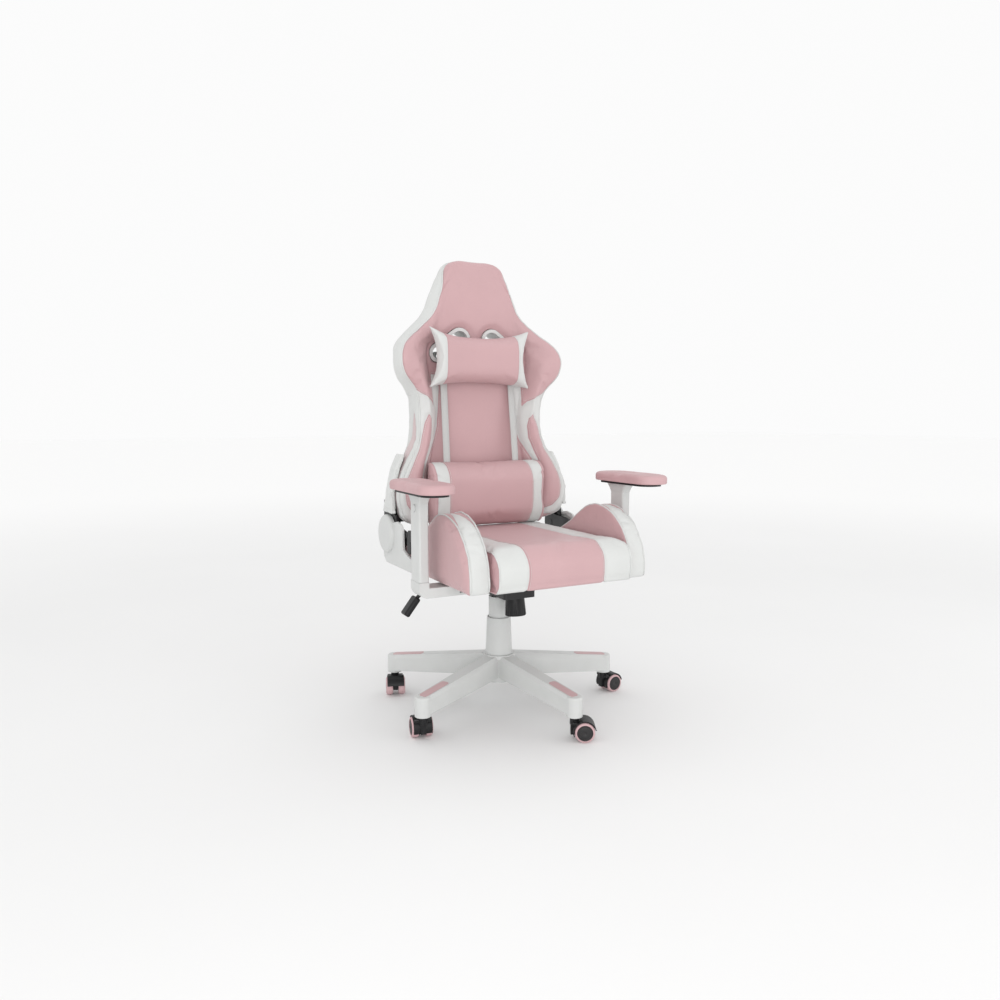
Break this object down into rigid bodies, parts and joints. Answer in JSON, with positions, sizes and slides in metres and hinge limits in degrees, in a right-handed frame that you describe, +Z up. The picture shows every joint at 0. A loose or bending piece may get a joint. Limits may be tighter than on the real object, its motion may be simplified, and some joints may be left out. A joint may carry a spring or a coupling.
{
  "type": "gaming chair",
  "caption": "Gaming chair: castored star base, gas lift, rocking bucket seat, raising armrests, reclining winged back with head and lumbar pillows.",
  "frame": {"origin": "the lift column's axis at floor level", "axes": "+Z up, the chair faces -Y, and the sitter's right hand is on the -X side"},
  "size_m": [0.7104, 0.6927, 1.222],
  "materials": {
    "white_plastic": "satin white nylon",
    "pink_plastic": "dusty pink",
    "black_plastic": "fine grain black",
    "black_steel": "black powder coat",
    "bright_steel": "bright plated steel",
    "wheel": "black disc with a pink tread ring",
    "white_cover": "white leatherette-grained cover",
    "pink_leatherette": "dusty pink leatherette with white panels",
    "white_elastic": "woven elastic",
    "bezel": "pale grey",
    "armpad": "soft pink polyurethane"
  },
  "bodies": {
    "base": {"star_base": "white_plastic", "leg_inserts": "pink_plastic", "caster_stems": "bright_steel", "lift_outer_tube": "black_steel", "lift_bearings": "black_plastic", "lift_cover_lower": "white_plastic"},
    "caster_1": {"caster_1_hood": "black_plastic"},
    "caster_1_left": {"caster_1_wheel_left": "wheel"},
    "caster_1_right": {"caster_1_wheel_right": "wheel"},
    "caster_2": {"caster_2_hood": "black_plastic"},
    "caster_2_left": {"caster_2_wheel_left": "wheel"},
    "caster_2_right": {"caster_2_wheel_right": "wheel"},
    "caster_3": {"caster_3_hood": "black_plastic"},
    "caster_3_left": {"caster_3_wheel_left": "wheel"},
    "caster_3_right": {"caster_3_wheel_right": "wheel"},
    "caster_4": {"caster_4_hood": "black_plastic"},
    "caster_4_left": {"caster_4_wheel_left": "wheel"},
    "caster_4_right": {"caster_4_wheel_right": "wheel"},
    "caster_5": {"caster_5_hood": "black_plastic"},
    "caster_5_left": {"caster_5_wheel_left": "wheel"},
    "caster_5_right": {"caster_5_wheel_right": "wheel"},
    "lift_rod": {"piston_rod": "bright_steel"},
    "lift": {"gas_cylinder": "black_steel", "lift_cover_upper": "white_plastic", "mechanism_housing": "black_steel", "tilt_pin": "bright_steel", "tension_spring": "bright_steel"},
    "release": {"release_pin": "bright_steel"},
    "knob": {"tension_knob": "black_plastic"},
    "rocker": {"lever_rocker": "black_steel"},
    "lever": {"height_lever": "black_steel", "height_lever_grip": "black_plastic"},
    "seat": {"tilt_plate": "black_steel", "seat_frame": "black_steel", "seat_bolts": "bright_steel", "seat_cushion": "pink_leatherette", "seat_wing_left": "pink_leatherette", "seat_wing_right": "pink_leatherette", "arm_bracket_left": "white_plastic", "arm_bracket_right": "white_plastic", "hinge_lower_plates": "black_steel", "recliner_covers": "white_plastic"},
    "recline_handle": {"recline_lever": "black_plastic"},
    "back": {"hinge_upper_plates": "black_steel", "hinge_upper_covers": "white_cover", "back_frame": "black_steel", "back_cushion": "pink_leatherette", "slot_bezels": "bezel", "lumbar_straps": "white_elastic"},
    "head": {"head_pillow": "pink_leatherette", "head_strap": "white_elastic"},
    "lumbar": {"lumbar_pillow": "pink_leatherette"},
    "arm_left": {"arm_sleeve_left": "white_plastic"},
    "arm_button_left": {"arm_button_left": "white_plastic"},
    "arm_rest_left": {"arm_pad_base_left": "black_plastic", "arm_pad_left": "armpad"},
    "arm_right": {"arm_sleeve_right": "white_plastic"},
    "arm_button_right": {"arm_button_right": "white_plastic"},
    "arm_rest_right": {"arm_pad_base_right": "black_plastic", "arm_pad_right": "armpad"}
  },
  "joints": [
    {"name": "caster_1_swivel", "type": "hinge", "parent": "base", "child": "caster_1", "pos_m": [0.04384, -0.31193, 0.06], "axis": [0, 0, 1], "continuous": true},
    {"name": "caster_1_roll_left", "type": "hinge", "parent": "caster_1", "child": "caster_1_left", "pos_m": [0.06547, -0.32344, 0.025], "axis": [0.4695, 0.8829, 0], "continuous": true},
    {"name": "caster_1_roll_right", "type": "hinge", "parent": "caster_1", "child": "caster_1_right", "pos_m": [0.06547, -0.32344, 0.025], "axis": [0.4695, 0.8829, 0], "continuous": true},
    {"name": "caster_2_swivel", "type": "hinge", "parent": "base", "child": "caster_2", "pos_m": [0.31021, -0.0547, 0.06], "axis": [0, 0, 1], "continuous": true},
    {"name": "caster_2_roll_left", "type": "hinge", "parent": "caster_2", "child": "caster_2_left", "pos_m": [0.33465, -0.05299, 0.025], "axis": [-0.0698, 0.9976, 0], "continuous": true},
    {"name": "caster_2_roll_right", "type": "hinge", "parent": "caster_2", "child": "caster_2_right", "pos_m": [0.33465, -0.05299, 0.025], "axis": [-0.0698, 0.9976, 0], "continuous": true},
    {"name": "caster_3_swivel", "type": "hinge", "parent": "base", "child": "caster_3", "pos_m": [0.14788, 0.27813, 0.06], "axis": [0, 0, 1], "continuous": true},
    {"name": "caster_3_roll_left", "type": "hinge", "parent": "caster_3", "child": "caster_3_left", "pos_m": [0.1349, 0.29891, 0.025], "axis": [-0.848, -0.5299, 0], "continuous": true},
    {"name": "caster_3_roll_right", "type": "hinge", "parent": "caster_3", "child": "caster_3_right", "pos_m": [0.1349, 0.29891, 0.025], "axis": [-0.848, -0.5299, 0], "continuous": true},
    {"name": "caster_4_swivel", "type": "hinge", "parent": "base", "child": "caster_4", "pos_m": [-0.21882, 0.22659, 0.06], "axis": [0, 0, 1], "continuous": true},
    {"name": "caster_4_roll_left", "type": "hinge", "parent": "caster_4", "child": "caster_4_left", "pos_m": [-0.22655, 0.20334, 0.025], "axis": [0.9489, -0.3156, 0], "continuous": true},
    {"name": "caster_4_roll_right", "type": "hinge", "parent": "caster_4", "child": "caster_4_right", "pos_m": [-0.22655, 0.20334, 0.025], "axis": [0.9489, -0.3156, 0], "continuous": true},
    {"name": "caster_5_swivel", "type": "hinge", "parent": "base", "child": "caster_5", "pos_m": [-0.28312, -0.13809, 0.06], "axis": [0, 0, 1], "continuous": true},
    {"name": "caster_5_roll_left", "type": "hinge", "parent": "caster_5", "child": "caster_5_left", "pos_m": [-0.27865, -0.114, 0.025], "axis": [-0.9833, 0.1822, 0], "continuous": true},
    {"name": "caster_5_roll_right", "type": "hinge", "parent": "caster_5", "child": "caster_5_right", "pos_m": [-0.27865, -0.114, 0.025], "axis": [-0.9833, 0.1822, 0], "continuous": true},
    {"name": "seat_swivel", "type": "hinge", "parent": "base", "child": "lift_rod", "pos_m": [0, 0, 0.084], "axis": [0, 0, 1], "continuous": true},
    {"name": "seat_height", "type": "slide", "parent": "lift_rod", "child": "lift", "axis": [0, 0, 1], "range_m": [-0.055, 0.03]},
    {"name": "release_press", "type": "slide", "parent": "lift", "child": "release", "axis": [0, 0, -1], "range_m": [0, 0.004]},
    {"name": "lever_lift", "type": "hinge", "parent": "lift", "child": "rocker", "pos_m": [-0.032, 0, 0.345], "axis": [0, 1, 0], "range_deg": [0, 6], "stiffness_Nm_per_rad": 12, "springref_deg": -2.86},
    {"name": "lever_pull", "type": "slide", "parent": "rocker", "child": "lever", "axis": [-1, 0, 0], "range_m": [0, 0.012]},
    {"name": "tension_turn", "type": "hinge", "parent": "lift", "child": "knob", "pos_m": [0, -0.09, 0.317], "axis": [0, 0.1045, 0.9945], "continuous": true},
    {"name": "seat_tilt", "type": "hinge", "parent": "lift", "child": "seat", "pos_m": [0, 0.03, 0.336], "axis": [-1, 0, 0], "range_deg": [0, 12], "stiffness_Nm_per_rad": 350, "springref_deg": -6.88},
    {"name": "recline_lever_lift", "type": "hinge", "parent": "seat", "child": "recline_handle", "pos_m": [-0.25, 0.055, 0.478], "axis": [-1, 0, 0], "range_deg": [0, 20], "stiffness_Nm_per_rad": 1.2, "springref_deg": -5.73},
    {"name": "back_recline", "type": "hinge", "parent": "seat", "child": "back", "pos_m": [0, 0.14, 0.474], "axis": [-1, 0, 0], "range_deg": [0, 70]},
    {"name": "head_pillow_slide", "type": "slide", "parent": "back", "child": "head", "axis": [0, 0, 1], "range_m": [-0.015, 0.015]},
    {"name": "lumbar_pillow_slide", "type": "slide", "parent": "back", "child": "lumbar", "axis": [0, 0, 1], "range_m": [0, 0.04]},
    {"name": "arm_height_left", "type": "slide", "parent": "seat", "child": "arm_left", "axis": [0, 0, 1], "range_m": [0, 0.07]},
    {"name": "arm_button_press_left", "type": "slide", "parent": "arm_left", "child": "arm_button_left", "axis": [-1, 0, 0], "range_m": [0, 0.0025], "stiffness_N_per_m": 400, "springref_m": -0.002},
    {"name": "arm_pad_swivel_left", "type": "hinge", "parent": "arm_left", "child": "arm_rest_left", "pos_m": [0.292, -0.15, 0.61], "axis": [0, 0, 1], "range_deg": [-20, 20]},
    {"name": "arm_height_right", "type": "slide", "parent": "seat", "child": "arm_right", "axis": [0, 0, 1], "range_m": [0, 0.07]},
    {"name": "arm_button_press_right", "type": "slide", "parent": "arm_right", "child": "arm_button_right", "axis": [1, 0, 0], "range_m": [0, 0.0025], "stiffness_N_per_m": 400, "springref_m": -0.002},
    {"name": "arm_pad_swivel_right", "type": "hinge", "parent": "arm_right", "child": "arm_rest_right", "pos_m": [-0.292, -0.15, 0.61], "axis": [0, 0, 1], "range_deg": [-20, 20]}
  ],
  "couplings": [
    {"joint": "release_press", "follows": "lever_lift", "m_per_rad": 0.038}
  ]
}
